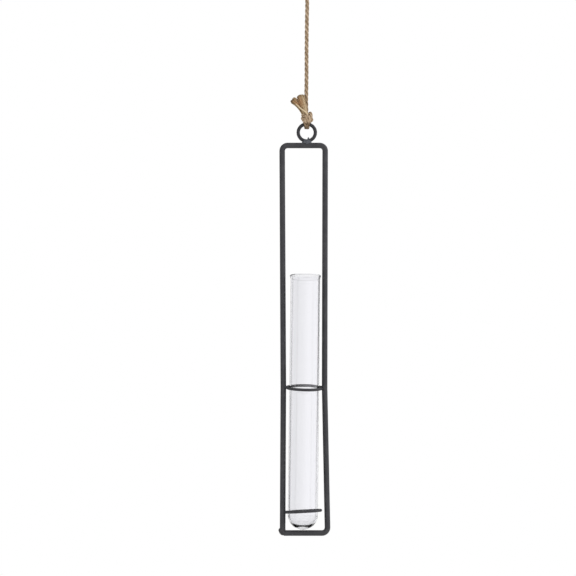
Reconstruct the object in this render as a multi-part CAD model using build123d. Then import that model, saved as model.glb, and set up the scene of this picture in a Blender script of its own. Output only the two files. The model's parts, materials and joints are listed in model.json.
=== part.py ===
from build123d import *
import math
import os

# Hanging wall vase. A glass test tube stands in two wire hoops inside a tall, narrow frame of bent rod.
# A ring on the frame's top hangs in the eye of a knotted jute twine, whose upper loop goes over a hook.
# Millimetres, +Z up, +X to the right. The front faces -Y.
# The origin is the point of the upper loop that rests on the hook, and the ring hangs straight below it.

# Rod frame, one rod bent round four corners and closed by a weld at the lower left one
rod = 4.7               # diameter
hang_drop = 170.0       # origin down to the top rail's centre line
frame_drop = 325.55     # top rail's centre line down to the bottom rail's
top_span = 36.4         # between the side rails' centre lines, at the top
foot_room = 2.2         # right of the lower hoop's free side, at the foot
foot_shift = 0.95       # how far the foot's middle lies right of the top rail's
waist_shift = 0.1       # the same for the waist, where the middle hoop draws the rails in
corner_bend = 4.6       # bend radius of the rod's centre line
waist_bend = 200.0      # bend radius of the slight kink at the waist
weld_gap = 0.6          # between two ends that a weld joins

# Glass tube
tube_outer = 25.0       # diameter
tube_wall = 1.2
tube_base = 2.8         # glass at the bottom's middle
tube_floor = 2.5        # radius of the flat inside there
tube_bend = 10.8        # height at which the inside starts to round in to it
tube_length = 212.5
lip_outer = 26.3        # diameter of the flared lip
lip_height = 1.6
tube_rest_gap = 0.3     # above the bottom rail

# Middle hoop, pressed tight between the rails and dropped at its front, one end over the other at the right
hoop_wire = 2.4         # diameter, both hoops
middle_drop = 205.0     # top rail's centre line down to the hoop's middle
middle_gap = 0.6        # beside a tube in the hoop's middle, all round
middle_near_gap = 0.35  # beside the tube, which leans to the right in the hoop, there
middle_bite = 0.6       # how deep it is melted into each rail
middle_pitch = 10.0     # degrees, front down
middle_roll = 1.1       # degrees, right side down
middle_step = 0.6       # how far the wire's back end lies above its front end, at the right rail

# Lower hoop, welded to the left rail alone
lower_rise = 17.95      # bottom rail's centre line up to the hoop's middle
lower_slack = 1.4       # inner diameter less the tube's diameter
lower_gap = 0.3         # beside the tube, on the left
lower_bite = 0.8        # how deep it is melted into the left rail
lower_roll = -3.2       # degrees, right side up
lower_pitch = 1.3       # degrees, front down

# Hanging ring, on the top rail
ring_wire = 2.9         # diameter
ring_radius = 7.25      # centre line
ring_lift = 0.05        # above the top rail
ring_offset = 2.65      # right of the top rail's middle

# Weld beads, as the radii of the drops that they are built up from
ring_bead = 2.1
ring_bead_reach = 1.95  # from the bead's middle to its outer drops
ring_bead_sink = 1.0    # how far the bead reaches below the ring wire's lower edge
ring_spike = 0.75       # radius of the burr's foot
ring_spike_place = 1.4  # right of the ring's middle
ring_spike_rise = 6.8   # the burr's tip above the top rail's centre line
corner_bead = 3.0
corner_bead_out = 0.85  # from the left rail's centre line out to the bead's middle
corner_bead_rise = 1.8  # the bead's middle above the bottom rail's centre line
corner_bead_end = 2.45  # drop at the bottom rail's end, and the one under the left rail's end
corner_bead_set = 0.6   # from the left rail's centre line in to the drop at the bottom rail's end
rod_end_short = 0.9     # how far the bottom rail's end stops short of the left rail's centre line
left_hoop_bead = 1.35
right_hoop_bead = 1.6
lower_hoop_bead = 1.35
bead_forward = 0.95     # how far the front drop of a hoop's bead lies before the frame's middle
bead_back = 0.7         # how far its back drop lies behind it

# Jute twine
twine = 3.4             # diameter
eye_twine = 2.8         # diameter where it is pulled tight round the ring, twice
eye_pitch = 2.2         # between the centre lines of the eye's two turns, pressed into each other
eye_gap = 0.42          # round the ring's wire
eye_turn = 4.0          # degrees that the eye lies askew
eye_arc = 280.0         # degrees of the eye's turn, up to where it enters the knot
hook_radius = 5.0       # of the loop's inner bend, over the hook
loop_splay = 10.0       # degrees of each leg off the vertical
leg_spacing = 3.7       # between the two legs' centre lines where they enter the knot
hook_knot_drop = 36.6   # origin down to the knot's middle

# Knots, as turns of twine wound round a core
knot_core = 3.1         # radius
knot_turn = 3.3         # radius of a turn's centre line
knot_cord = 1.75        # radius of a turn's twine, slack
knot_rise = 1.6         # from turn to turn
turn_tilts = (10.0, -28.0, 15.0)    # degrees, from the lowest turn to the top one
turn_spins = (12.0, 33.0, -25.0)    # degrees about the knot's axis, the same way
ring_knot_gap = 0.3     # above the ring's wire
ring_knot_shift = 0.3   # right of the ring's middle
neck_place = -0.4       # where the standing twine leaves the ring's knot, right of the ring's middle
neck_height = 0.5
hook_end_length = 7.5   # cut end of the twine at the hook's knot
hook_end_rise = 25.0    # degrees above the horizontal

# Frayed tails, from the ring's knot up to their tips, each a bent and widening bundle
# Places: right of the ring's middle, behind the frame's middle and above the knot's middle, with the
# bundle's radius there. Both tails pass in front of the standing twine.
left_tail_route = (
    (-1.6, -1.4, 1.4, 1.8), (-4.9, -2.2, 6.5, 1.8), (-8.2, -2.6, 10.8, 2.0), (-12.2, -2.8, 14.9, 2.2))
right_tail_route = (
    (-0.9, -3.6, 2.6, 1.4), (-2.3, -4.1, 7.6, 2.0), (-3.8, -4.1, 12.4, 2.9), (-4.9, -3.5, 18.4, 3.2))
tail_round = 0.9        # fillet of the cut ends

# Standing twine, from the ring's knot up to the hook's: places right of the origin and below it
line_route = ((-0.2, -145.0), (-0.6, -133.0), (-0.1, -112.0), (-0.2, -84.0), (0.6, -38.0))

LEFT, RIGHT = -1, 1
UPWARDS, FORWARDS = (0, 0, 1), (0, -1, 0)

# Heights and places that follow from the sizes above
top_z = -hang_drop
foot_z = top_z - frame_drop
middle_z = top_z - middle_drop
lower_z = foot_z + lower_rise
top_x = -ring_offset
waist_x = top_x + waist_shift
foot_x = top_x + foot_shift
foot_span = rod - lower_bite + tube_outer + lower_slack + 2 * hoop_wire + foot_room
middle_radius = tube_outer / 2 + middle_gap + hoop_wire / 2
waist_span = 2 * (middle_radius + hoop_wire / 2 - middle_bite) + rod
ring_z = top_z + rod / 2 + ring_lift + ring_wire / 2 + ring_radius
pivot_z = ring_z + ring_radius
knot_below, knot_above = (
    knot_rise + knot_cord + knot_turn * math.sin(math.radians(abs(tilt))) for tilt in turn_tilts[::2])
ring_knot_z = pivot_z + ring_wire / 2 + ring_knot_gap + knot_below
neck_z = ring_knot_z + knot_above + neck_height
hook_knot_z = -hook_knot_drop


def rail_x(side, z):
    """Centre line of the left or right side rail at a height."""
    levels = ((top_z, top_x, top_span), (middle_z, waist_x, waist_span), (foot_z, foot_x, foot_span))
    upper, lower = levels[:2] if z >= middle_z else levels[1:]
    share = (upper[0] - z) / (upper[0] - lower[0])
    middle = upper[1] + share * (lower[1] - upper[1])
    span = upper[2] + share * (lower[2] - upper[2])
    return middle + side * span / 2


lower_radius = (tube_outer + lower_slack + hoop_wire) / 2
lower_x = rail_x(LEFT, lower_z) + rod / 2 - lower_bite + hoop_wire / 2 + lower_radius
tube_low_x = rail_x(LEFT, lower_z) + rod / 2 - lower_bite + hoop_wire + lower_gap + tube_outer / 2
tube_waist_x = waist_x + middle_gap - middle_near_gap
tube_lean = math.degrees(math.atan2(tube_waist_x - tube_low_x, middle_z - lower_z))


def tube_x(z):
    """Place of the leaning tube's axis at a height."""
    return tube_waist_x + (z - middle_z) * math.tan(math.radians(tube_lean))


tube_foot_z = foot_z + rod / 2 + tube_rest_gap


def swept_round(path, diameter):
    """Round bar along a path."""
    return sweep(Plane(path @ 0, z_dir=path % 0) * Circle(diameter / 2), path=path)


def drops(poles, *places):
    """Weld metal: overlapping round drops, each a radius and its middle, their poles along one direction.

    The poles lie clear of the seams where the drops are cut.
    """
    bead = Part()
    for radius, middle in places:
        bead += Plane(middle, z_dir=poles) * Sphere(radius)
    return bead


def frame_rod():
    route = [
        (rail_x(LEFT, foot_z), foot_z + rod / 2 + weld_gap),
        (rail_x(LEFT, middle_z), middle_z),
        (rail_x(LEFT, top_z), top_z),
        (rail_x(RIGHT, top_z), top_z),
        (rail_x(RIGHT, middle_z), middle_z),
        (rail_x(RIGHT, foot_z), foot_z),
        (rail_x(LEFT, foot_z) + rod_end_short, foot_z),
    ]
    bends = [waist_bend, corner_bend, corner_bend, waist_bend, corner_bend]
    return swept_round(FilletPolyline(*[(x, 0, z) for x, z in route], radius=bends), rod)


def wire_hoop(x_radius, y_radius, wire, facing, step=0):
    """Wire bent round a level, round or oval hoop, its two ends a weld's gap apart at an angle.

    The oval is arcs that meet on its diagonals, two about its ends and two about its sides.
    With a step, one half is bent up and the other down from the side opposite the ends.
    """
    diagonal = math.sqrt(0.5)
    end_radius = (y_radius * diagonal - x_radius * (1 - diagonal)) / (2 * diagonal - 1)
    side_radius = (x_radius * diagonal - y_radius * (1 - diagonal)) / (2 * diagonal - 1)
    end_x, side_y = x_radius - end_radius, y_radius - side_radius
    half_gap = math.degrees(weld_gap / 2 / end_radius)
    bend = math.degrees(math.asin(step / 2 / (2 * x_radius)))
    hinge = Pos(-x_radius, 0, 0)
    upper = hinge * Rot(0, -bend, 0) * Pos(x_radius, 0, 0)
    lower = hinge * Rot(0, bend, 0) * Pos(x_radius, 0, 0)
    edges = [
        upper * CenterArc((end_x, 0), end_radius, half_gap, 45 - half_gap).edge(),
        upper * CenterArc((0, side_y), side_radius, 45, 90).edge(),
        upper * CenterArc((-end_x, 0), end_radius, 135, 45).edge(),
        lower * CenterArc((-end_x, 0), end_radius, 180, 45).edge(),
        lower * CenterArc((0, -side_y), side_radius, 225, 90).edge(),
        lower * CenterArc((end_x, 0), end_radius, 315, 45 - half_gap).edge(),
    ]
    return Rot(0, 0, facing) * swept_round(Wire(edges), wire)


def hanging_ring():
    level = wire_hoop(ring_radius, ring_radius, ring_wire, -90)
    return Pos(0, 0, ring_z) * Rot(90, 0, 0) * level


def middle_hoop(frame):
    depth = middle_radius / math.cos(math.radians(middle_pitch))
    level = wire_hoop(middle_radius, depth, hoop_wire, 0, middle_step)
    return Pos(waist_x, 0, middle_z) * Rot(0, middle_roll, 0) * Rot(middle_pitch, 0, 0) * level - frame


def lower_hoop(frame):
    level = wire_hoop(lower_radius, lower_radius, hoop_wire, 180)
    return Pos(lower_x, 0, lower_z) * Rot(0, lower_roll, 0) * Rot(lower_pitch, 0, 0) * level - frame


def ring_weld(frame, ring):
    bead_z = ring_z - ring_radius - ring_wire / 2 + ring_bead - ring_bead_sink
    spike_height = top_z + ring_spike_rise - bead_z
    spike = Cone(ring_spike, ring_spike / 5, spike_height, align=(Align.CENTER, Align.CENTER, Align.MIN))
    bead = drops(
        UPWARDS,
        (ring_bead, (0, 0, bead_z)),
        (ring_bead, (-ring_bead_reach, 0, bead_z)),
        (ring_bead, (ring_bead_reach, 0, bead_z)),
    )
    return bead + Pos(ring_spike_place, 0, bead_z) * spike - frame - ring


def corner_weld(frame):
    x = rail_x(LEFT, foot_z)
    bead = drops(
        UPWARDS,
        (corner_bead, (x - corner_bead_out, 0, foot_z + corner_bead_rise)),
        (corner_bead_end, (x + corner_bead_set, 0, foot_z)),
        (corner_bead_end, (x, 0, foot_z + rod / 2 + weld_gap / 2)),
    )
    return bead - frame


def hoop_weld(side, z, radius, frame, hoop, step=0):
    """Bead where a hoop meets a side rail, its back drop a step higher than its front one."""
    seam_x = rail_x(side, z) - side * rod / 2
    bead = drops(
        FORWARDS,
        (radius, (seam_x, -bead_forward, z - step / 2)),
        (radius, (seam_x, bead_back, z + step / 2)),
    )
    return bead - frame - hoop


def glass_tube():
    """Test tube on its own axis, rounded bottom at the origin."""
    outer, inner = tube_outer / 2, tube_outer / 2 - tube_wall
    lip = lip_outer / 2
    neck = tube_length - lip_height
    rim = lip - (outer + inner) / 2
    with BuildPart() as tube:
        with BuildSketch(Plane.XZ):
            with BuildLine():
                RadiusArc((0, 0), (outer, outer), -outer)
                Line((outer, outer), (outer, neck - lip_height))
                Spline((outer, neck - lip_height), (lip, neck + lip_height / 2),
                       tangents=((0, 1), (0, 1)))
                ThreePointArc((lip, neck + lip_height / 2), (lip - rim / 2, tube_length),
                              (lip - rim, neck + lip_height / 2))
                Spline((lip - rim, neck + lip_height / 2), (inner, neck - lip_height),
                       tangents=((0, -1), (0, -1)))
                Line((inner, neck - lip_height), (inner, tube_bend))
                EllipticalCenterArc((tube_floor, tube_bend), inner - tube_floor, tube_bend - tube_base,
                                    -90, arc_size=90)
                Line((tube_floor, tube_base), (0, tube_base))
                Line((0, tube_base), (0, 0))
            make_face()
        revolve(axis=Axis.Z)
    return tube.part


def placed_tube():
    return Pos(tube_x(tube_foot_z), 0, tube_foot_z) * Rot(0, tube_lean, 0) * glass_tube()


def knot(x, z):
    """Overhand knot: turns of slack twine round a core, each tilted its own way."""
    body = Pos(x, 0, z) * Cylinder(knot_core, 2 * (knot_rise + knot_cord))
    for number, (tilt, spin) in enumerate(zip(turn_tilts, turn_spins)):
        height = z + (number - 1) * knot_rise
        body += Pos(x, 0, height) * Rot(0, 0, spin) * Rot(0, tilt, 0) * Torus(knot_turn, knot_cord)
    return body


def ring_knot():
    neck = Pos(neck_place, 0, neck_z) * Cylinder(
        twine / 2, knot_above, align=(Align.CENTER, Align.CENTER, Align.MAX))
    return knot(ring_knot_shift, ring_knot_z) + neck


def ring_eye(tie):
    """Two turns of the twine, side by side round the ring's wire and up into the knot."""
    radius = ring_wire / 2 + eye_gap + eye_twine / 2
    turn = swept_round(CenterArc((0, 0), radius, 90 + (360 - eye_arc) / 2, eye_arc), eye_twine)
    turns = [Pos(0, 0, side * eye_pitch / 2) * turn for side in (LEFT, RIGHT)]
    return Pos(0, 0, pivot_z) * Rot(0, 0, 90 + eye_turn) * Rot(90, 0, 0) * (turns[0] + turns[1]) - tie


def tail(route):
    """Untwisted tail end, bent and wider towards its tip, the cut end's edge worn round."""
    places = [(x, y, ring_knot_z + z) for x, y, z, radius in route]
    spine = Spline(*places)
    bundle = loft([
        Plane(place, z_dir=spine % spine.param_at_point(place)) * Circle(radius)
        for place, (x, y, z, radius) in zip(places, route)
    ])
    return fillet(bundle.edges().sort_by(Axis.Z)[-1], tail_round)


def route_radii(points):
    """Bend radii of a twine's route: 0.45 of the shorter run over the tangent of half the turn."""
    radii = []
    for before, here, after in zip(points, points[1:], points[2:]):
        first, second = Vector(*here) - Vector(*before), Vector(*after) - Vector(*here)
        half_turn = math.radians(first.get_angle(second) / 2)
        radii.append(0.45 * min(first.length, second.length) / math.tan(half_turn))
    return radii


def twine_line(hook_tie):
    points = [(x, 0, z) for x, z in line_route]
    radii = route_radii(points)
    print("standing twine, bend radii:", [round(radius) for radius in radii])
    path = FilletPolyline(*points, radius=radii)
    bar = swept_round(path, twine)
    print("standing twine, volume over section times length:",
          round(bar.volume / (math.pi * twine ** 2 / 4 * path.length), 4))
    below = Pos(neck_place, 0, neck_z) * Cylinder(
        knot_turn, knot_below + knot_above, align=(Align.CENTER, Align.CENTER, Align.MAX))
    return bar - below - hook_tie


def twine_hook_loop(hook_tie):
    """Loop over the hook: two straight legs and the bend that the hook gives."""
    radius = hook_radius + twine / 2
    splay = math.radians(loop_splay)
    bend_z = -hook_radius
    shoulder = (radius * math.cos(splay), bend_z - radius * math.sin(splay))
    leg = (shoulder[0] - leg_spacing / 2) / math.sin(splay)
    foot = (leg_spacing / 2, shoulder[1] - leg * math.cos(splay))
    print("hook loop, bend radius and lower end:", radius, round(foot[1], 2))
    bend = Plane.XZ * CenterArc((0, bend_z), radius, -loop_splay, 180 + 2 * loop_splay)
    legs = [
        Line((side * foot[0], 0, foot[1]), (side * shoulder[0], 0, shoulder[1]))
        for side in (RIGHT, LEFT)
    ]
    return swept_round(Wire([legs[0].edge(), bend.edge(), legs[1].edge()]), twine) - hook_tie


def hook_loop_knot():
    end = Pos(0, 0, hook_knot_z) * Rot(0, 90 - hook_end_rise, 0) * Cylinder(
        twine / 2, knot_turn + hook_end_length, align=(Align.CENTER, Align.CENTER, Align.MIN))
    return knot(0, hook_knot_z) + end


def build():
    nodes = {}
    frame = nodes["frame_rod"] = frame_rod()
    ring = nodes["hanging_ring"] = hanging_ring()
    middle = nodes["middle_hoop"] = middle_hoop(frame)
    lower = nodes["lower_hoop"] = lower_hoop(frame)
    nodes["ring_weld"] = ring_weld(frame, ring)
    nodes["corner_weld"] = corner_weld(frame)
    roll = middle_radius * math.sin(math.radians(middle_roll))
    nodes["middle_hoop_left_weld"] = hoop_weld(
        LEFT, middle_z + roll, left_hoop_bead, frame, middle)
    nodes["middle_hoop_right_weld"] = hoop_weld(
        RIGHT, middle_z - roll, right_hoop_bead, frame, middle, middle_step)
    roll = lower_radius * math.sin(math.radians(lower_roll))
    nodes["lower_hoop_weld"] = hoop_weld(
        LEFT, lower_z + roll, lower_hoop_bead, frame, lower)
    nodes["glass_tube"] = placed_tube()
    tie = nodes["ring_knot"] = ring_knot()
    nodes["ring_eye"] = ring_eye(tie)
    left_tail = nodes["left_tail"] = tail(left_tail_route) - tie
    nodes["right_tail"] = tail(right_tail_route) - tie - left_tail
    hook_tie = nodes["hook_loop_knot"] = hook_loop_knot()
    nodes["twine_line"] = twine_line(hook_tie)
    nodes["twine_hook_loop"] = twine_hook_loop(hook_tie)
    return nodes


os.makedirs("parts", exist_ok=True)
for name, solid in build().items():
    export_step(solid, f"parts/{name}.step")
print("tube leans", round(tube_lean, 3), "degrees; hinge of the ring in the eye at height", round(pivot_z, 3))
print("neck at", neck_place, round(neck_z, 3))
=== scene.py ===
import bpy
import json
import math
import random
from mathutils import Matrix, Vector, noise


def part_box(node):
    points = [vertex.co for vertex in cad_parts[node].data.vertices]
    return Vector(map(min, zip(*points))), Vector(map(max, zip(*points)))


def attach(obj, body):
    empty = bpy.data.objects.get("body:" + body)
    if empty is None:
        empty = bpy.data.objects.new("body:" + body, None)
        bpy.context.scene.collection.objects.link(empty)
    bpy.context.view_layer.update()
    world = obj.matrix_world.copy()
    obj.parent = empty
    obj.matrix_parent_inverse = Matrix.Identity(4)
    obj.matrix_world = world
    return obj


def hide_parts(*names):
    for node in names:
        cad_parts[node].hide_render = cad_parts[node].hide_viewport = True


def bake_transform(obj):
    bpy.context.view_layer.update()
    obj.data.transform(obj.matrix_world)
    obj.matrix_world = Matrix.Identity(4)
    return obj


# Hanging wall vase: a glass test tube in a black iron frame that hangs from a knotted jute twine.
# Metres, +Z up, the front faces -Y. The origin is the point of the twine's loop that rests on the hook.

MM = 0.001

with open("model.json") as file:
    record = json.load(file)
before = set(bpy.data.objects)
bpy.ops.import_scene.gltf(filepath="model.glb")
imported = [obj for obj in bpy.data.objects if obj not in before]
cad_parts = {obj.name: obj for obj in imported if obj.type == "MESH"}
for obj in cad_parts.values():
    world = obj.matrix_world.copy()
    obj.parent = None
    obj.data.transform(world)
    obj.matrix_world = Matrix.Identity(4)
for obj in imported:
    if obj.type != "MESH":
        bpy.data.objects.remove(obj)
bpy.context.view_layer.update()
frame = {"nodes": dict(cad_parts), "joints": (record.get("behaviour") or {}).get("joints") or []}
joints = {joint["name"]: joint for joint in frame["joints"]}

# Camera: a long lens a little below the vase's foot, looking slightly up
LENS = 131.0
SENSOR = 36.0
CAMERA_PLACE = (-0.0159, -1.75, -0.4774)
CAMERA_PITCH = 6.073                     # degrees up
LEVEL = 90                               # degrees from looking down to looking level

# Studio light, as linear red, green and blue, by where a ray that ends in it goes. A spread gives the turns
# to the right, from -1 to 1, between which the left colour gives way to the right one.
# Through the glass: how far the ray turns to the right, and how bright what it meets there is.
THROUGH = (
    (-0.5, 1.0), (-0.26, 0.98), (-0.18, 0.94), (-0.06, 0.915), (-0.02, 0.97), (0.03, 1.0), (0.12, 0.965),
    (0.3, 0.94), (0.5, 1.0),
)
THROUGH_UP = (0.3, 0.3, 0.3, 1)          # through the glass and up, as a share of that
THROUGH_RISE = (0.125, 0.2)              # turns upwards between which that share comes in
MIRRORED_LEFT = (0.22, 0.22, 0.22, 1)    # mirrored in the glass, to the front
MIRRORED_RIGHT = (2.1, 2.05, 2.25, 1)
MIRRORED_SPREAD = (-0.6, 0.7)
MIRRORED_BACK_LEFT = (0.4, 0.4, 0.41, 1)  # and to the back
MIRRORED_BACK_RIGHT = (1.1, 1.1, 1.12, 1)
MIRRORED_BACK_SPREAD = (-0.3, 0.3)
MIRRORED_DEPTH = (0.0, 0.6)              # turns to the back between which the front's give way to these
SOFT_LEFT = (0.75, 0.75, 0.75, 1)        # from rough surfaces
SOFT_RIGHT = (1.0, 1.0, 1.02, 1)
SOFT_SPREAD = (-1.0, 1.0)
WHITE = (1, 1, 1, 1)
LAMPS = (                                # name, place, diameter, watts and colour
    ("key", (1.1, -1.4, 0.5), 0.9, 8, (1.0, 0.99, 0.97)),
    ("fill", (-1.3, -0.9, -0.1), 0.9, 3, (0.97, 0.98, 1.0)),
)
LAMP_AIM = (0, 0, -0.3)
FLOOR_RADIUS = 2.4
FLOOR_DROP = 0.62                        # from the origin down to the floor
FLOOR_SIDES = 96

# Finishes: sRGB colours from dark to light, and the size of each pattern and height of each relief
BAR_COLOURS = ("37373A", "3D3D3F", "444446")
RING_COLOURS = ("2E2E30", "353537", "3E3E40")
BAR_CLOUD = 7 * MM
BAR_GRAIN = 0.8 * MM
BAR_RELIEF = 0.06 * MM
WELD_COLOURS = ("3C3F43", "4D5055", "62656A")
WAXED_WELD_COLOURS = ("2E2E2F", "393839", "474648")
WELD_CLOUD = 1.6 * MM
WELD_RELIEF = 0.15 * MM
GLASS_COLOUR = "F7F7F9"
DRAW_LINE = 3 * MM                       # width of a draw line in the glass
DRAW_LINE_WIDTH_SHARE = 0.02             # of its length
DRAW_LINE_RELIEF = 0.02 * MM
JUTE_COLOURS = ("6A5742", "B39C81", "DACBB4")
JUTE_STAIN = "A87C58"
FRAYED_COLOURS = ("5E4C36", "AA9270", "D6C4A4")
FRAYED_STAIN = "A87850"
STREAKS_ROUND = 18.0                     # streaks of fibre round a ply
STREAKS_PER_MM = 0.7                     # and along it
STREAK_CONTRAST = 0.8
STREAK_RELIEF = 0.12 * MM
FLOOR_COLOUR = "FBFBFA"

# Twine
TWINE = 3.4 * MM                         # diameter
TWINE_LAY = 13.8 * MM                    # length in which a ply goes once round
PLIES = 3
PLY_SHARE = 0.25                         # radius of a ply, of the twine's diameter
PLY_TONE_STEP = 0.06                     # from each ply's tone to the next one's
PLY_SWELL_SHARE = 0.08                   # how uneven a ply's radius is
PLY_SWELL = 4 * MM                       # length of a swelling
PLY_SWELL_OFFSET = 7.3                   # keeps the plies from swelling alike
PLY_STEP = 0.35 * MM                     # between the rings of points of a ply
YARN_RIDGES = 8                          # ridges of fibre round a ply
RIDGE_SHARE = 0.05                       # their depth, of the ply's radius
RIDGE_TURN = math.radians(40) / MM       # they turn the other way than the plies
GROOVE_SHADE = 0.6                       # painted shade in the grooves between the plies: how much darker the tone gets from the surface to the heart

# Loose fibres that stand off the twine
HAIR = 0.05 * MM                         # diameter
HAIR_TAPER_SHARE = 0.6                   # of that, by which its tip is thinner
HAIR_SIDES = 3
HAIR_POINTS = 7
HAIR_STRIDE = 2                          # rings of the twine between its points
HAIR_ROOT_SHARE = 0.9                    # how far out it starts, of the twine's radius
HAIR_LIFT = (0.2, 0.9)                   # how far its tip stands off from there, in millimetres
HAIR_DRIFT = 0.9                         # radians round the twine, either way
HAIR_TONE = (-0.1, 0.3)

# Routes are in millimetres. The standing twine's, right of and above the origin, goes from inside the
# ring's knot up into the hook's knot.
LINE_ROUTE = ((-0.2, -145.0), (-0.6, -133.0), (-0.1, -112.0), (-0.2, -84.0), (0.6, -38.0))

# The loop over the hook, from the hook's knot up, round and down again
LOOP_ROUTE = (
    (1.2, -36.6), (1.85, -33.0), (4.2, -19.6), (6.4, -7.6), (6.9, -3.6), (5.0, -0.2), (2.0, 1.72),
    (-2.0, 1.72), (-5.0, -0.2), (-6.9, -3.6), (-6.4, -7.6), (-4.2, -19.6), (-1.85, -33.0), (-1.2, -36.6),
)
LOOP_TURN = 1.0                          # radians by which the first ply starts round the twine

# Places in the knots are right of, behind and above the knot's middle
RING_KNOT_SHIFT = 0.3 * MM               # right of the ring's middle
RING_KNOT_RISE = 5.673 * MM              # above the ring's wire
RING_KNOT_TWINE = 3.35 * MM
RING_KNOT_LAY = 9.5 * MM                 # its bends wind the plies up
RING_KNOT_TURN = 0.5                     # radians, as the loop's
RING_KNOT_TONE = 0.07
EYE_SHARE = 0.84                         # of its diameter, where the eye is pulled tight round the ring
EYE_SHADE = 0.28                         # painted shade where the eye is pulled tight under the ring: how much darker it is there
EYE_TOP = -4.3 * MM                      # height where it begins to be tight
EYE_BLEND = 1.5 * MM                     # and how much lower it is as tight as it gets
RING_KNOT_ROUTE = (
    (-0.4, 0.8, 3.2), (-0.2, 1.8, 0.0), (-1.6, 2.9, -2.2), (-2.1, 3.6, -4.7), (-1.3, 3.15, -6.96),
    (-1.1, 1.29, -8.79), (-1.1, -1.29, -8.79), (-1.3, -3.15, -6.96), (-1.8, -3.7, -4.7), (-1.0, -4.3, -2.6),
    (-0.4, -4.5, -0.6), (-0.3, -4.2, 1.6), (-0.5, -2.4, 3.4), (-0.9, 0.8, 3.2), (-2.6, 2.8, 2.4),
    (-3.5, 1.2, 2.0), (-3.5, -1.8, 1.8), (-1.4, -3.3, 0.6), (1.2, -3.0, -0.6), (3.0, -2.2, -0.8),
    (3.2, 0.8, -0.4), (2.2, 3.4, 0.2), (-1.2, 3.8, -0.2), (-3.6, 2.0, -0.6), (-3.7, -1.4, -1.0),
    (-3.5, -2.9, -2.6), (-1.4, -3.5, -3.6), (2.4, -4.1, -3.7), (3.7, -2.5, -2.3), (3.5, 1.4, -2.2),
    (1.9, 3.6, -2.6), (1.5, 3.7, -4.8), (0.7, 3.15, -6.96), (0.6, 1.29, -8.79), (0.6, -1.29, -8.79),
    (0.7, -3.15, -6.96), (1.1, -3.7, -4.8), (1.9, -4.3, -2.8), (2.6, -4.3, -0.6), (3.0, -3.4, 1.4),
    (2.6, -1.6, 3.4), (2.6, 1.4, 3.1), (3.4, 2.6, 1.0), (1.0, 3.7, 1.2), (-2.2, 3.0, 1.0), (-1.6, 1.2, 1.2),
)
HOOK_KNOT_DROP = 36.6 * MM               # from the origin down to the knot's middle
HOOK_KNOT_ROUTE = (
    (0.2, 0.2, 3.0), (0.6, -1.6, 3.4), (2.6, -2.6, 2.4), (3.9, 0.2, 1.4), (2.4, 3.2, 1.0),
    (-1.4, 3.6, 1.5), (-3.8, 1.0, 1.7), (-2.8, -2.8, 0.9), (0.8, -3.7, -0.6), (3.8, -1.4, -1.9),
    (3.1, 2.4, -2.3), (-0.8, 3.6, -1.7), (-3.7, 1.3, -1.2), (-3.0, -2.6, -1.5), (0.4, -3.9, -0.6),
    (3.8, -2.9, 1.5), (6.4, -1.0, 3.0), (8.6, -0.3, 3.9),
)

# Frayed ends: places from the knot's middle, for the ring's knot without its shift, and the radius there
HOOK_END = ((7.6, -0.5, 3.5, 1.5), (9.0, -0.2, 4.1, 1.6), (10.6, 0.1, 4.8, 1.8))
LEFT_TAIL = (
    (-1.6, -1.4, 1.4, 1.8), (-4.5, -2.2, 6.9, 1.8), (-8.0, -2.6, 11.4, 2.2), (-12.7, -2.8, 15.4, 3.3),
)
RIGHT_TAIL = (
    (-0.9, -3.6, 2.6, 1.4), (-2.3, -4.1, 7.6, 2.0), (-4.0, -4.1, 12.4, 2.9), (-5.4, -3.5, 18.6, 3.4),
)

# The plies that an end opens into: degrees round it from its front to its right, tone, and rusty stain
HOOK_END_PLIES = ((-80, -0.1, 0.2), (20, 0.15, 0.2), (140, 0.0, 0.4))
LEFT_TAIL_PLIES = ((-80, -0.12, 0.0), (0, -0.02, 0.7), (45, 0.15, 0.45), (180, -0.1, 0.2))
RIGHT_TAIL_PLIES = (
    (-85, 0.05, 0.3), (-50, 0.0, 0.55), (-10, 0.07, 0.5), (40, 0.2, 0.1), (90, 0.1, 0.0), (180, 0.0, 0.2),
)

# One ply that comes out of the knot over the right tail's root and lies open on the left tail
LOOSE_PLY = (
    (0.6, -4.6, 1.4), (0.2, -5.7, 2.4), (-1.2, -6.2, 3.8), (-3.2, -5.8, 5.2), (-4.9, -4.9, 6.6),
    (-6.5, -4.6, 8.2), (-7.9, -4.5, 9.6), (-9.4, -4.0, 11.2),
)
LOOSE_PLY_WIDTH = 1.25 * MM
LOOSE_PLY_TONE = 0.3

# Tails: name, node that it replaces, route, plies, number of fibres, dome, seed and loose ply
TAILS = (
    ("left_tuft", "left_tail", LEFT_TAIL, LEFT_TAIL_PLIES, 320, 2.2 * MM, 17, LOOSE_PLY),
    ("right_tuft", "right_tail", RIGHT_TAIL, RIGHT_TAIL_PLIES, 440, 1.5 * MM, 19, None),
)

# The fibres of a frayed end, and the matted middle that they hide
FRAY_POINTS = 13                         # along it
FIBRE = 0.30 * MM                        # diameter
FIBRE_WIDTH_SHARES = (0.7, 1.2)
FIBRE_SIDES = 4
FIBRE_REACH_FROM = 0.3                   # square of how far out the inmost ones lie, of the end's radius
FIBRE_SWAY = 0.3                         # millimetres by which they bow out of line, either way
FIBRE_TONE = 0.11                        # by which they differ, either way
FRAY_TWIST = 0.3                         # radians of lay left in it
CUT_SPREAD = 0.35 * MM                   # how unevenly it is cut
CORE_SHARE = 0.80                        # radius of the matted middle, of the end's own
CORE_TIP_SHARE = 0.7                     # of that, at its tip
CORE_LENGTH_SHARE = 0.95
CORE_SIDES = 14
CORE_TONE = -0.2
CORE_STAIN = 0.2

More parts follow.
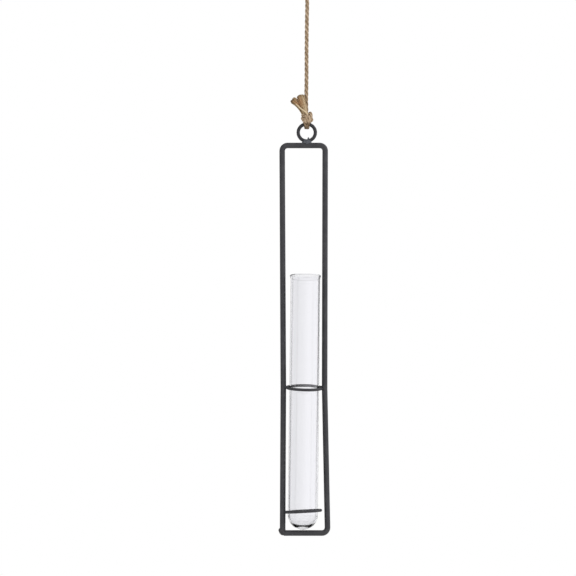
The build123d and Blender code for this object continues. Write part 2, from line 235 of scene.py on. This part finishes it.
# Tones and stain along it, by shares of its length
ROOT_TONE = 0.1                          # how much lighter it is where it leaves the knot
ROOT_SHARE = 0.4
CUT_END_SHADE = 0.22                        # painted shade on the cut face: how much darker its cut end is
CUT_END_SHADE_SHARE = 0.18
STAIN_FROM_SHARE = 0.3                   # where the stain starts
STAIN_RISE_SHARE = 0.25                  # the length over which it builds up
STAIN_FADE_SHARE = 0.35                  # and that over which it fades to the cut end

# Weld beads
DROP_SEGMENTS = 24
DROP_RINGS = 16
BEAD_VOXEL = 0.16 * MM
BEAD_SMOOTHING = 0.6
BEAD_SMOOTHINGS = 4
RIPPLE = Vector((3.4, 0.6, 3.4))         # radians to the millimetre, in the direction in which it froze
RIPPLE_HEIGHT = 0.05                     # millimetres
LUMPS_PER_MM = 1.1
LUMP_HEIGHT = 0.1                        # millimetres

# The drops that each bead is melted from: middle in shares of the node's box, radius as a share of the
# box's height, and stretch
HOOP_DROPS = (
    ((0.5, 0.34, 0.5), 0.52, (1.0, 1.1, 0.95)),
    ((0.5, 0.68, 0.5), 0.50, (1.0, 1.1, 0.95)),
)
DROPS = {
    "ring_weld": (
        ((0.24, 0.40, 0.16), 0.40, (1.0, 1.0, 0.95)),
        ((0.37, 0.42, 0.26), 0.46, (1.0, 1.0, 1.0)),
        ((0.52, 0.36, 0.14), 0.48, (1.0, 1.0, 1.0)),
        ((0.66, 0.42, 0.28), 0.46, (1.0, 1.0, 1.0)),
        ((0.76, 0.40, 0.16), 0.40, (1.0, 1.0, 0.95)),
        ((0.67, 0.46, 0.74), 0.17, (1.0, 1.0, 1.9)),
    ),
    "corner_weld": (
        ((0.43, 0.5, 0.68), 0.34, (1.0, 1.15, 1.0)),
        ((0.48, 0.5, 0.51), 0.31, (1.0, 1.2, 1.0)),
        ((0.62, 0.5, 0.40), 0.33, (1.0, 1.15, 1.0)),
        ((0.62, 0.5, 0.70), 0.36, (1.0, 1.0, 1.0)),
    ),
    "middle_hoop_right_weld": (
        ((0.5, 0.34, 0.30), 0.31, (1.0, 1.0, 0.95)),
        ((0.5, 0.66, 0.70), 0.31, (1.0, 1.0, 0.95)),
    ),
    "middle_hoop_left_weld": HOOP_DROPS,
    "lower_hoop_weld": HOOP_DROPS,
}

# Lines as rows of points
ROUTE_RESOLUTION = 32                    # points of the smooth line to each point of the route
NEARLY_ALONG = 0.95                      # cosine past which a normal is too near the line's own direction
TINY = 1e-12                             # stands in for a length of nothing where one is divided by


def camera():
    """The camera, level but for its pitch, in front of the vase."""
    data = bpy.data.cameras.new("camera")
    data.lens = LENS
    data.sensor_width = SENSOR
    eye = bpy.data.objects.new("camera", data)
    eye.location = CAMERA_PLACE
    eye.rotation_euler = (math.radians(LEVEL + CAMERA_PITCH), 0, 0)
    bpy.context.scene.collection.objects.link(eye)
    bpy.context.scene.camera = eye


# Materials


def linear(code):
    """An sRGB hex colour as linear red, green, blue and alpha."""
    shares = [int(code[i:i + 2], 16) / 255 for i in (0, 2, 4)]
    return [s / 12.92 if s <= 0.04045 else ((s + 0.055) / 1.055) ** 2.4 for s in shares] + [1.0]


def set_inputs(tree, node, inputs):
    """Gives a node's inputs their values, or links them to the sockets that they come from."""
    for name, value in inputs.items():
        if isinstance(value, bpy.types.NodeSocket):
            tree.links.new(value, node.inputs[name])
        else:
            node.inputs[name].default_value = value


def add(tree, kind, inputs=None, stops=(), **settings):
    """Adds a node with its settings, its inputs and, on a colour ramp, its stops of place and colour."""
    node = tree.nodes.new(kind)
    for name, value in settings.items():
        setattr(node, name, value)
    set_inputs(tree, node, inputs or {})
    if stops:
        elements = node.color_ramp.elements
        while len(elements) < len(stops):
            elements.new(0.5)
        for element, (place, colour) in zip(elements, stops):
            element.position = place
            element.color = colour
    return node


def new_material(name):
    """A material, its tree and its Principled surface."""
    material = bpy.data.materials.new(name)
    material.use_nodes = True
    return material, material.node_tree, material.node_tree.nodes["Principled BSDF"]


def blackened_iron(name, dark, middle, light):
    """Hot-rolled round bar, blackened and waxed: dark charcoal, nearly matt, with a faint mill grain."""
    material, tree, surface = new_material(name)
    place = add(tree, "ShaderNodeTexCoord").outputs["Object"]
    clouds = add(tree, "ShaderNodeTexNoise", {"Vector": place, "Scale": 1 / BAR_CLOUD, "Detail": 4.0})
    grain = add(tree, "ShaderNodeTexNoise", {"Vector": place, "Scale": 1 / BAR_GRAIN, "Detail": 6.0})
    colour = add(tree, "ShaderNodeValToRGB", {"Fac": clouds.outputs["Fac"]},
                 stops=((0.3, linear(dark)), (0.55, linear(middle)), (0.75, linear(light))))
    gloss = add(tree, "ShaderNodeMapRange", {"Value": grain.outputs["Fac"], "To Min": 0.4, "To Max": 0.65})
    relief = add(tree, "ShaderNodeBump",
                 {"Height": grain.outputs["Fac"], "Strength": 0.25, "Distance": BAR_RELIEF})
    set_inputs(tree, surface, {
        "Base Color": colour.outputs["Color"], "Roughness": gloss.outputs["Result"],
        "Normal": relief.outputs["Normal"], "Specular IOR Level": 0.15,
    })
    return material


def weld_metal(name, dark, middle, light):
    """Weld bead under the same wax: rippled as it froze, and bluer than the bar where the wax is thin."""
    material, tree, surface = new_material(name)
    place = add(tree, "ShaderNodeTexCoord").outputs["Object"]
    clouds = add(tree, "ShaderNodeTexNoise", {"Vector": place, "Scale": 1 / WELD_CLOUD, "Detail": 5.0})
    colour = add(tree, "ShaderNodeValToRGB", {"Fac": clouds.outputs["Fac"]},
                 stops=((0.3, linear(dark)), (0.5, linear(middle)), (0.72, linear(light))))
    relief = add(tree, "ShaderNodeBump",
                 {"Height": clouds.outputs["Fac"], "Strength": 0.5, "Distance": WELD_RELIEF})
    set_inputs(tree, surface, {
        "Base Color": colour.outputs["Color"], "Normal": relief.outputs["Normal"],
        "Metallic": 0.2, "Roughness": 0.45, "Specular IOR Level": 0.25,
    })
    return material


def clear_glass():
    """Drawn borosilicate tube: clear, thin walled, with faint lengthwise draw lines."""
    material, tree, surface = new_material("clear_glass")
    place = add(tree, "ShaderNodeTexCoord").outputs["Object"]
    stretched = add(tree, "ShaderNodeMapping", {"Vector": place, "Scale": (1.0, 1.0, DRAW_LINE_WIDTH_SHARE)})
    lines = add(tree, "ShaderNodeTexNoise",
                {"Vector": stretched.outputs["Vector"], "Scale": 1 / DRAW_LINE, "Detail": 2.0})
    relief = add(tree, "ShaderNodeBump",
                 {"Height": lines.outputs["Fac"], "Strength": 0.1, "Distance": DRAW_LINE_RELIEF})
    set_inputs(tree, surface, {
        "Base Color": linear(GLASS_COLOUR), "Normal": relief.outputs["Normal"],
        "Transmission Weight": 1.0, "Roughness": 0.0, "IOR": 1.474,
    })
    return material


def twine_fibre(name, dark, middle, light, stain):
    """Jute: matt, warm grey-brown bast fibre in fine streaks along each ply, stained in places.

    Its UV map gives the share of the way round a ply, and the millimetres along it.
    """
    material, tree, surface = new_material(name)
    along = add(tree, "ShaderNodeUVMap", uv_map="UVMap")
    stretched = add(tree, "ShaderNodeMapping",
                    {"Vector": along.outputs["UV"], "Scale": (STREAKS_ROUND, STREAKS_PER_MM, 1.0)})
    streaks = add(tree, "ShaderNodeTexNoise",
                  {"Vector": stretched.outputs["Vector"], "Scale": 1.0, "Detail": 5.0})
    # the tone carries painted shade in the twine's grooves, at the ring's eye and at the cut ends, besides
    # each ply's own tone
    tone = add(tree, "ShaderNodeAttribute", attribute_name="tone")
    stained = add(tree, "ShaderNodeAttribute", attribute_name="stain")
    shade = add(tree, "ShaderNodeMath",
                {0: streaks.outputs["Fac"], 1: STREAK_CONTRAST, 2: tone.outputs["Fac"]},
                operation="MULTIPLY_ADD")
    clean = add(tree, "ShaderNodeValToRGB", {"Fac": shade.outputs["Value"]},
                stops=((0.1, linear(dark)), (0.45, linear(middle)), (0.8, linear(light))))
    colour = add(tree, "ShaderNodeMix",
                 {0: stained.outputs["Fac"], 6: clean.outputs["Color"], 7: linear(stain)}, data_type="RGBA")
    relief = add(tree, "ShaderNodeBump",
                 {"Height": streaks.outputs["Fac"], "Strength": 0.6, "Distance": STREAK_RELIEF})
    set_inputs(tree, surface, {
        "Base Color": colour.outputs[2], "Normal": relief.outputs["Normal"],
        "Roughness": 0.9, "Specular IOR Level": 0.2,
    })
    return material


# Lines


def spline_points(route):
    """Points of the smooth NURBS line through a route, in metres."""
    curve = bpy.data.curves.new("route", "CURVE")
    curve.dimensions = "3D"
    curve.resolution_u = ROUTE_RESOLUTION
    spline = curve.splines.new("NURBS")
    spline.points.add(len(route) - 1)
    for point, place in zip(spline.points, route):
        point.co = (*place, 1)
    spline.order_u = 3
    spline.use_endpoint_u = True
    holder = bpy.data.objects.new("route", curve)
    mesh = bpy.data.meshes.new_from_object(holder)
    points = [vertex.co.copy() for vertex in mesh.vertices]
    bpy.data.objects.remove(holder)
    bpy.data.curves.remove(curve)
    bpy.data.meshes.remove(mesh)
    return points


def line_length(points):
    return sum((after - before).length for before, after in zip(points, points[1:]))


def stepped(points, step):
    """A line's points at even steps, and the step that fits its length."""
    lengths = [0.0]
    for before, after in zip(points, points[1:]):
        lengths.append(lengths[-1] + (after - before).length)
    count = max(2, round(lengths[-1] / step))
    found, segment = [], 0
    for number in range(count + 1):
        wanted = lengths[-1] * number / count
        while segment < len(points) - 2 and lengths[segment + 1] < wanted:
            segment += 1
        share = (wanted - lengths[segment]) / max(lengths[segment + 1] - lengths[segment], TINY)
        found.append(points[segment].lerp(points[segment + 1], share))
    return found, lengths[-1] / count


def cross_frames(points):
    """Tangent, normal and side of a line at each point, carried along without twist."""
    frames = []
    normal = Vector((0, -1, 0))
    for number in range(len(points)):
        tangent = (points[min(number + 1, len(points) - 1)] - points[max(number - 1, 0)]).normalized()
        if abs(tangent.dot(normal)) > NEARLY_ALONG:
            normal = tangent.orthogonal()
        normal = (normal - tangent * normal.dot(tangent)).normalized()
        frames.append((tangent, normal, tangent.cross(normal)))
    return frames


def between(values, share):
    """A row of values, read at a share of its length."""
    place = share * (len(values) - 1)
    before = min(int(place), len(values) - 2)
    return values[before] + (values[before + 1] - values[before]) * (place - before)


# Twine


class Bundle:
    """Closed tubes gathered into one mesh, with a UV map, and a tone and a stain at each point."""

    def __init__(self):
        self.points, self.faces, self.uvs, self.tones, self.stains = [], [], [], [], []

    def tube(self, centres, radii, sides, tones, stains=None, ridge=0.0, ridge_turn=0.0, twine=None):
        """Adds a tube round a line. Ridges may run along it, and painted shade makes it darker towards a
        twine's heart.
        """
        first = len(self.points)
        length = 0.0
        lengths = []
        for number, (_, normal, side) in enumerate(cross_frames(centres)):
            if number:
                length += (centres[number] - centres[number - 1]).length
            lengths.append(length / MM)
            for corner in range(sides):
                angle = math.tau * corner / sides + ridge_turn * length
                radius = radii[number] * (1 + (ridge if corner % 2 else -ridge))
                point = centres[number] + (normal * math.cos(angle) + side * math.sin(angle)) * radius
                # painted shade: points that lie deeper in the twine, in the grooves between plies, get a
                # darker tone
                depth = 1 - (point - twine[number][0]).length / twine[number][1] if twine else 0
                self.points.append(point)
                self.tones.append(tones[number] - GROOVE_SHADE * max(0, depth))
                self.stains.append(stains[number] if stains else 0.0)
        for number in range(len(centres) - 1):
            for corner in range(sides):
                following = (corner + 1) % sides
                lower, upper = first + number * sides, first + (number + 1) * sides
                self.faces.append((lower + corner, lower + following, upper + following, upper + corner))
                left, right = corner / sides, (corner + 1) / sides
                here, there = lengths[number], lengths[number + 1]
                self.uvs.append(((left, here), (right, here), (right, there), (left, there)))
        last = first + (len(centres) - 1) * sides
        self.faces.append(tuple(first + corner for corner in reversed(range(sides))))
        self.faces.append(tuple(last + corner for corner in range(sides)))
        self.uvs.append(tuple((corner / sides, 0) for corner in reversed(range(sides))))
        self.uvs.append(tuple((corner / sides, lengths[-1]) for corner in range(sides)))

    def plies(self, line, diameter, turn=0.0, tight=None, tone=0.0, lay=TWINE_LAY):
        """Adds a twine's plies, in S lay. Where it is tight, from 0 to 1, it is thinner, and painted shade
        makes it darker.
        """
        centres, step = stepped(line, PLY_STEP)
        frames = cross_frames(centres)
        for ply in range(PLIES):
            path, radii, tones, twine = [], [], [], []
            for number, (_, normal, side) in enumerate(frames):
                squeeze = tight(centres[number]) if tight else 0.0
                girth = diameter * (1 - squeeze * (1 - EYE_SHARE))
                radius = girth * PLY_SHARE
                angle = turn - math.tau * (ply / PLIES + number * step / lay)
                reach = girth / 2 - radius
                path.append(centres[number] + (normal * math.cos(angle) + side * math.sin(angle)) * reach)
                place = Vector((number * step / PLY_SWELL, ply * PLY_SWELL_OFFSET, diameter / MM))
                radii.append(radius * (1 + PLY_SWELL_SHARE * noise.noise(place)))
                # painted shade where the eye is pulled tight under the ring
                tones.append(tone + PLY_TONE_STEP * (ply - 1) - EYE_SHADE * squeeze)
                twine.append((centres[number], girth / 2))
            self.tube(path, radii, 2 * YARN_RIDGES, tones, ridge=RIDGE_SHARE, ridge_turn=RIDGE_TURN,
                      twine=twine)

    def hairs(self, line, diameter, count, seed):
        """Adds loose fibres that stand a little off the twine."""
        random.seed(seed)
        centres, _ = stepped(line, PLY_STEP)
        frames = cross_frames(centres)
        for _ in range(count):
            start = random.randrange(len(centres) - (HAIR_POINTS + 1) * HAIR_STRIDE)
            angle = random.uniform(0, math.tau)
            drift = random.uniform(-HAIR_DRIFT, HAIR_DRIFT)
            lift = random.uniform(*HAIR_LIFT) * MM
            path, radii = [], []
            for number in range(HAIR_POINTS):
                share = number / (HAIR_POINTS - 1)
                _, normal, side = frames[start + number * HAIR_STRIDE]
                turned = angle + drift * share
                out = diameter / 2 * HAIR_ROOT_SHARE + lift * share ** 2
                path.append(centres[start + number * HAIR_STRIDE]
                            + (normal * math.cos(turned) + side * math.sin(turned)) * out)
                radii.append(HAIR / 2 * (1 - HAIR_TAPER_SHARE * share))
            self.tube(path, radii, HAIR_SIDES, [random.uniform(*HAIR_TONE)] * HAIR_POINTS)

    def piece(self, name, material):
        """The finished piece, of all that was added."""
        mesh = bpy.data.meshes.new(name)
        mesh.from_pydata(self.points, [], self.faces)
        layer = mesh.uv_layers.new(name="UVMap")
        layer.data.foreach_set("uv", [value for face in self.uvs for corner in face for value in corner])
        for label, values in (("tone", self.tones), ("stain", self.stains)):
            attribute = mesh.attributes.new(label, "FLOAT", "POINT")
            attribute.data.foreach_set("value", values)
        mesh.polygons.foreach_set("use_smooth", [True] * len(mesh.polygons))
        mesh.materials.append(material)
        made = bpy.data.objects.new(name, mesh)
        bpy.context.scene.collection.objects.link(made)
        return made


def in_knot(middle, places):
    """Places given in millimetres from a knot's middle."""
    return [middle + Vector(place) * MM for place in places]


def standing_twine(jute):
    """The taut stretch between the knots."""
    line = spline_points([(x * MM, 0, z * MM) for x, z in LINE_ROUTE])
    bundle = Bundle()
    bundle.plies(line, TWINE)
    bundle.hairs(line, TWINE, count=150, seed=3)
    piece = bundle.piece("standing_twine", jute)
    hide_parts("twine_line")
    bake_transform(piece)


def hook_loop(jute):
    """The loop that goes over the hook."""
    line = spline_points([(x * MM, 0, z * MM) for x, z in LOOP_ROUTE])
    bundle = Bundle()
    bundle.plies(line, TWINE, turn=LOOP_TURN)
    bundle.hairs(line, TWINE, count=90, seed=5)
    piece = bundle.piece("hook_loop", jute)
    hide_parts("twine_hook_loop")
    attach(piece, "hanger")


def hook_knot(jute, frayed):
    """The knot that closes the loop, with the twine's short cut end."""
    middle = Vector((0, 0, -HOOK_KNOT_DROP))
    line = spline_points(in_knot(middle, HOOK_KNOT_ROUTE))
    bundle = Bundle()
    bundle.plies(line, TWINE)
    bundle.hairs(line, TWINE, count=50, seed=7)
    piece = bundle.piece("hook_knot", jute)
    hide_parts("hook_loop_knot")
    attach(piece, "hanger")
    end = frayed_end(
        "hook_knot_end", frayed, middle, HOOK_END, HOOK_END_PLIES, count=110, dome=0.3 * MM, seed=11)
    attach(end, "hanger")


def ring_tie(jute, middle):
    """The overhand knot, its two turns through the ring, and the wraps round it, all one twine."""
    line = spline_points(in_knot(middle, RING_KNOT_ROUTE))

    def tight(place):
        return min(1.0, max(0.0, (middle.z + EYE_TOP - place.z) / EYE_BLEND))

    bundle = Bundle()
    bundle.plies(line, RING_KNOT_TWINE, RING_KNOT_TURN, tight, RING_KNOT_TONE, RING_KNOT_LAY)
    bundle.hairs(line, RING_KNOT_TWINE, count=60, seed=13)
    piece = bundle.piece("ring_tie", jute)
    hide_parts("ring_knot", "ring_eye")
    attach(piece, "tie")


def nearest_ply(plies, angle):
    """Tone and stain of the ply that lies nearest an angle round a frayed end."""
    def apart(ply):
        return abs((angle - math.radians(ply[0]) + math.pi) % math.tau - math.pi)
    return min(plies, key=apart)[1:]


def matted_middle(bundle, centres, girths):
    """Adds the solid middle of a frayed end, a little short of its fibres."""
    last = FRAY_POINTS - 1
    radii = [girth * CORE_SHARE for girth in girths]
    radii[-1] *= CORE_TIP_SHARE
    path = [between(centres, CORE_LENGTH_SHARE * number / last) for number in range(FRAY_POINTS)]
    bundle.tube(path, radii, CORE_SIDES, [CORE_TONE] * FRAY_POINTS, [CORE_STAIN] * FRAY_POINTS,
                ridge=RIDGE_SHARE)


def frayed_end(name, material, middle, route, plies, count, dome, seed, loose_ply=None):
    """Opened end of the twine: fibres that spread along its bend and are cut blunt, round a matted middle.

    The dome is how far its outermost fibres stop short of its middle.
    """
    random.seed(seed)
    last = FRAY_POINTS - 1
    centres, _ = stepped(spline_points(in_knot(middle, [place[:3] for place in route])), PLY_STEP)
    centres = [between(centres, number / last) for number in range(FRAY_POINTS)]
    frames = cross_frames(centres)
    girths = [between([place[3] for place in route], number / last) * MM for number in range(FRAY_POINTS)]
    length = line_length(centres)
    bundle = Bundle()
    matted_middle(bundle, centres, girths)
    for _ in range(count):
        angle = random.uniform(-math.pi, math.pi)
        reach = math.sqrt(random.uniform(FIBRE_REACH_FROM, 1))
        sway = random.uniform(-FIBRE_SWAY, FIBRE_SWAY) * MM
        sway_side = random.uniform(-FIBRE_SWAY, FIBRE_SWAY) * MM
        end = 1 + (random.uniform(-1, 1) * CUT_SPREAD - dome * reach ** 3) / length
        tone, stain = nearest_ply(plies, angle)
        tone += random.uniform(-FIBRE_TONE, FIBRE_TONE)
        path, tones, stains = [], [], []
        for number in range(FRAY_POINTS):
            share = number / last * end
            here = min(share, 1.0)
            past = frames[-1][0] * (share - here) * length
            _, normal, side = frames[round(here * last)]
            turned = angle + FRAY_TWIST * (0.5 - here)
            bow = math.sin(math.pi * here)
            out = between(girths, here) * reach
            path.append(between(centres, here) + past + normal * (math.cos(turned) * out + sway * bow)
                        + side * (math.sin(turned) * out + sway_side * bow))
            # painted shade on the cut end, over the last share of its length
            cut_end_shade = max(0.0, (share - 1 + CUT_END_SHADE_SHARE) / CUT_END_SHADE_SHARE)
            tones.append(tone - CUT_END_SHADE * cut_end_shade + ROOT_TONE * max(0.0, 1 - share / ROOT_SHARE))
            rise, fade = (share - STAIN_FROM_SHARE) / STAIN_RISE_SHARE, (1 - share) / STAIN_FADE_SHARE
            stains.append(stain * max(0.0, min(1.0, rise, fade)))
        thick = FIBRE / 2 * random.uniform(*FIBRE_WIDTH_SHARES)
        bundle.tube(path, [thick] * FRAY_POINTS, FIBRE_SIDES, tones, stains)
    if loose_ply:
        path, _ = stepped(spline_points(in_knot(middle, loose_ply)), PLY_STEP)
        bundle.tube(path, [LOOSE_PLY_WIDTH / 2] * len(path), 2 * YARN_RIDGES, [LOOSE_PLY_TONE] * len(path),
                    ridge=RIDGE_SHARE)
    return bundle.piece(name, material)


def tails(frayed, middle):
    """The twine's two opened ends at the ring's knot."""
    for name, node, route, plies, count, dome, seed, loose_ply in TAILS:
        piece = frayed_end(name, frayed, middle, route, plies, count, dome, seed, loose_ply)
        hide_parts(node)
        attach(piece, "tie")


# Metal and glass


def clear_selection():
    bpy.ops.object.select_all(action="DESELECT")


def weld_bead(node, metal, drops):
    """Bead of weld metal that takes a node's place: drops melted together."""
    low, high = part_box(node)
    size = high - low
    parts = []
    for place, radius_share, stretch in drops:
        clear_selection()
        centre = Vector([low[axis] + size[axis] * place[axis] for axis in range(3)])
        bpy.ops.mesh.primitive_uv_sphere_add(
            segments=DROP_SEGMENTS, ring_count=DROP_RINGS, radius=size.z * radius_share, location=centre)
        drop = bpy.context.object
        drop.scale = stretch
        parts.append(drop)
    clear_selection()
    for part in parts:
        part.select_set(True)
    bpy.context.view_layer.objects.active = parts[0]
    bpy.ops.object.join()
    bead = bpy.context.object
    bead.name = node.replace("weld", "bead")
    bead.data.name = bead.name
    bpy.ops.object.transform_apply(location=True, rotation=True, scale=True)
    melt = bead.modifiers.new("melt", "REMESH")
    melt.mode = "VOXEL"
    melt.voxel_size = BEAD_VOXEL
    bpy.ops.object.modifier_apply(modifier=melt.name)
    even = bead.modifiers.new("even", "SMOOTH")
    even.factor = BEAD_SMOOTHING
    even.iterations = BEAD_SMOOTHINGS
    bpy.ops.object.modifier_apply(modifier=even.name)
    for vertex in bead.data.vertices:
        place = vertex.co / MM
        wave = math.sin(place.dot(RIPPLE)) * RIPPLE_HEIGHT + noise.noise(place * LUMPS_PER_MM) * LUMP_HEIGHT
        vertex.co += vertex.normal * wave * MM
    bpy.ops.object.shade_smooth()
    bead.data.materials.clear()
    bead.data.materials.append(metal)
    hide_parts(node)
    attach(bead, "frame")


def weld_beads(bright, dark):
    """All weld beads. The one at the rod's ends is waxed as dark as the rod."""
    for node, drops in DROPS.items():
        weld_bead(node, dark if node == "corner_weld" else bright, drops)


def finish_nodes(finishes):
    """The CAD pieces that stay take their finish."""
    for name, material in finishes.items():
        node = frame["nodes"][name]
        node.data.materials.clear()
        node.data.materials.append(material)


# Studio


def surround():
    """White backdrop and soft surround. Glass shows what lies behind it bright, and dims to its sides."""
    world = bpy.data.worlds.new("studio")
    bpy.context.scene.world = world
    world.use_nodes = True
    tree = world.node_tree
    tree.nodes.clear()
    ray = add(tree, "ShaderNodeTexCoord").outputs["Generated"]
    right, back, up = add(tree, "ShaderNodeSeparateXYZ", {"Vector": ray}).outputs
    kinds = add(tree, "ShaderNodeLightPath").outputs

    def graded(place, ends, start, end):
        """One colour up to the first of two places, another from the second, and a blend between them."""
        share = add(tree, "ShaderNodeMapRange", {"Value": place, "From Min": ends[0], "From Max": ends[1]},
                    interpolation_type="SMOOTHSTEP").outputs["Result"]
        return add(tree, "ShaderNodeMix", {0: share, 6: start, 7: end}, data_type="RGBA").outputs[2]

    first, last = THROUGH[0][0], THROUGH[-1][0]
    turned = add(tree, "ShaderNodeMapRange", {"Value": right, "From Min": first, "From Max": last})
    met = add(tree, "ShaderNodeValToRGB", {"Fac": turned.outputs["Result"]}, stops=[
        ((place - first) / (last - first), (level, level, level, 1)) for place, level in THROUGH])
    upwards = graded(up, THROUGH_RISE, WHITE, THROUGH_UP)
    through = add(tree, "ShaderNodeMix", {0: 1.0, 6: met.outputs["Color"], 7: upwards},
                  data_type="RGBA", blend_type="MULTIPLY").outputs[2]
    mirrored_front = graded(right, MIRRORED_SPREAD, MIRRORED_LEFT, MIRRORED_RIGHT)
    mirrored_back = graded(right, MIRRORED_BACK_SPREAD, MIRRORED_BACK_LEFT, MIRRORED_BACK_RIGHT)
    mirrored = graded(back, MIRRORED_DEPTH, mirrored_front, mirrored_back)
    seen = graded(right, SOFT_SPREAD, SOFT_LEFT, SOFT_RIGHT)
    lights = {"Is Glossy Ray": mirrored, "Is Transmission Ray": through, "Is Camera Ray": WHITE}
    for kind, colour in lights.items():
        seen = graded(kinds[kind], (0, 1), seen, colour)
    light = add(tree, "ShaderNodeBackground", {"Color": seen})
    add(tree, "ShaderNodeOutputWorld", {"Surface": light.outputs["Background"]})
    bpy.context.scene.view_settings.view_transform = "Standard"


def lamps():
    """Two soft lamps that light the metal and the twine and don't show in the glass."""
    for name, place, size, power, colour in LAMPS:
        lamp = bpy.data.lights.new(name, "AREA")
        lamp.shape = "DISK"
        lamp.size = size
        lamp.energy = power
        lamp.color = colour
        holder = bpy.data.objects.new(name, lamp)
        holder.location = place
        aim = Vector(LAMP_AIM) - Vector(place)
        holder.rotation_euler = aim.to_track_quat("-Z", "Y").to_euler()
        holder.visible_glossy = False
        holder.visible_transmission = False
        bpy.context.scene.collection.objects.link(holder)


def floor():
    """Pale round floor below the vase, under the picture's lower edge."""
    clear_selection()
    bpy.ops.mesh.primitive_circle_add(
        vertices=FLOOR_SIDES, radius=FLOOR_RADIUS, fill_type="NGON", location=(0, 0, -FLOOR_DROP))
    disc = bpy.context.object
    disc.name = "floor"
    material, tree, surface = new_material("floor")
    set_inputs(tree, surface, {"Base Color": linear(FLOOR_COLOUR), "Roughness": 0.9})
    disc.data.materials.append(material)


camera()
jute = twine_fibre("jute", *JUTE_COLOURS, JUTE_STAIN)
frayed = twine_fibre("frayed_jute", *FRAYED_COLOURS, FRAYED_STAIN)
tails_middle = Vector(joints["frame_swing"]["pos_m"]) + Vector((0, 0, RING_KNOT_RISE))
standing_twine(jute)
hook_loop(jute)
hook_knot(jute, frayed)
ring_tie(jute, tails_middle + Vector((RING_KNOT_SHIFT, 0, 0)))
tails(frayed, tails_middle)
weld_beads(weld_metal("weld_metal", *WELD_COLOURS), weld_metal("waxed_weld", *WAXED_WELD_COLOURS))
iron = blackened_iron("blackened_iron", *BAR_COLOURS)
finish_nodes({
    "frame_rod": iron, "middle_hoop": iron, "lower_hoop": iron,
    "hanging_ring": blackened_iron("ring_iron", *RING_COLOURS), "glass_tube": clear_glass(),
})
surround()
lamps()
floor()
